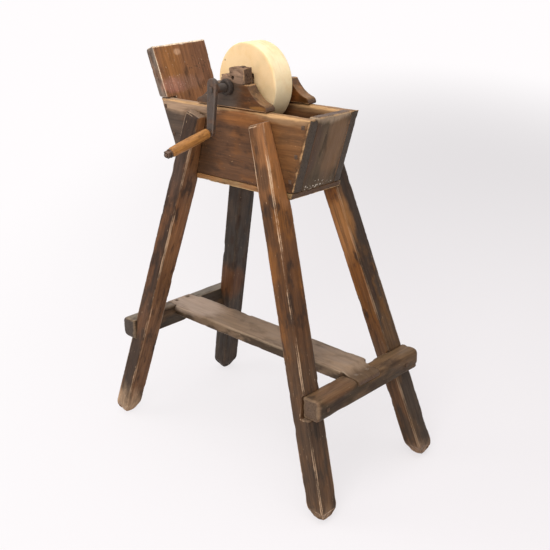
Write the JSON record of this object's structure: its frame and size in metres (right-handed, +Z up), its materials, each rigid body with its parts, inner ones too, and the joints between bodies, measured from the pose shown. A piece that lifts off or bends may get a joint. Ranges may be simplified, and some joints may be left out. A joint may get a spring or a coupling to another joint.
{
  "type": "hand-cranked grindstone",
  "caption": "Hand-cranked grindstone in a tapered wooden water trough with a tall splash board, on a splayed trestle stand.",
  "frame": {"origin": "on the floor, under the middle of the whole object", "axes": "+X along the trough to its low end (the tall splash board is at -X), +Y from the crank side to the back, +Z up"},
  "size_m": [0.6888, 0.4218, 0.901],
  "materials": {
    "trough_wood": "old stained softwood",
    "dark_end_wood": "old stained softwood, darker",
    "leg_wood": "old stained softwood, worn arrises",
    "stretcher_wood": "weathered grey-brown wood",
    "block_wood": "old stained wood, oily",
    "keeper_wood": "rough dark wood",
    "wedge_wood": "split hardwood",
    "sandstone": "matt cream sandstone",
    "grip_wood": "turned wood, polished by hands",
    "iron": "wrought iron with old rust"
  },
  "bodies": {
    "stand": {"front_side_board": "trough_wood", "back_side_board": "trough_wood", "right_end_board": "dark_end_wood", "tall_end_board": "trough_wood", "bottom_board": "trough_wood", "front_left_leg": "leg_wood", "front_right_leg": "leg_wood", "back_left_leg": "leg_wood", "back_right_leg": "leg_wood", "left_end_stretcher": "stretcher_wood", "right_end_stretcher": "stretcher_wood", "long_stretcher": "stretcher_wood", "front_bearing_block": "block_wood", "back_bearing_block": "block_wood", "front_bearing_shell": "iron", "back_bearing_shell": "iron", "front_keeper": "keeper_wood", "back_keeper": "keeper_wood", "trough_nails": "iron", "bottom_board_nails": "iron", "leg_nails": "iron", "stretcher_nails": "iron", "lap_nails": "iron", "keeper_nails": "iron"},
    "stone_and_crank": {"axle": "iron", "grindstone": "sandstone", "upper_eye_wedge": "wedge_wood", "lower_eye_wedge": "wedge_wood", "left_eye_wedge": "wedge_wood", "right_eye_wedge": "wedge_wood", "front_flange": "iron", "back_flange": "iron", "flange_pins": "iron", "front_collar": "iron", "back_collar": "iron", "crank_arm": "iron", "handle_spindle": "iron", "grip_washer": "iron", "spindle_nut": "iron"},
    "grip": {"handle_grip": "grip_wood"}
  },
  "joints": [
    {"name": "stone_turn", "type": "hinge", "parent": "stand", "child": "stone_and_crank", "pos_m": [0, 0.02383, 0.818], "axis": [0, 1, 0], "continuous": true},
    {"name": "grip_turn", "type": "hinge", "parent": "stone_and_crank", "child": "grip", "pos_m": [-0.01123, -0.09817, 0.73274], "axis": [-0.0327, -0.9681, -0.2482], "continuous": true}
  ]
}
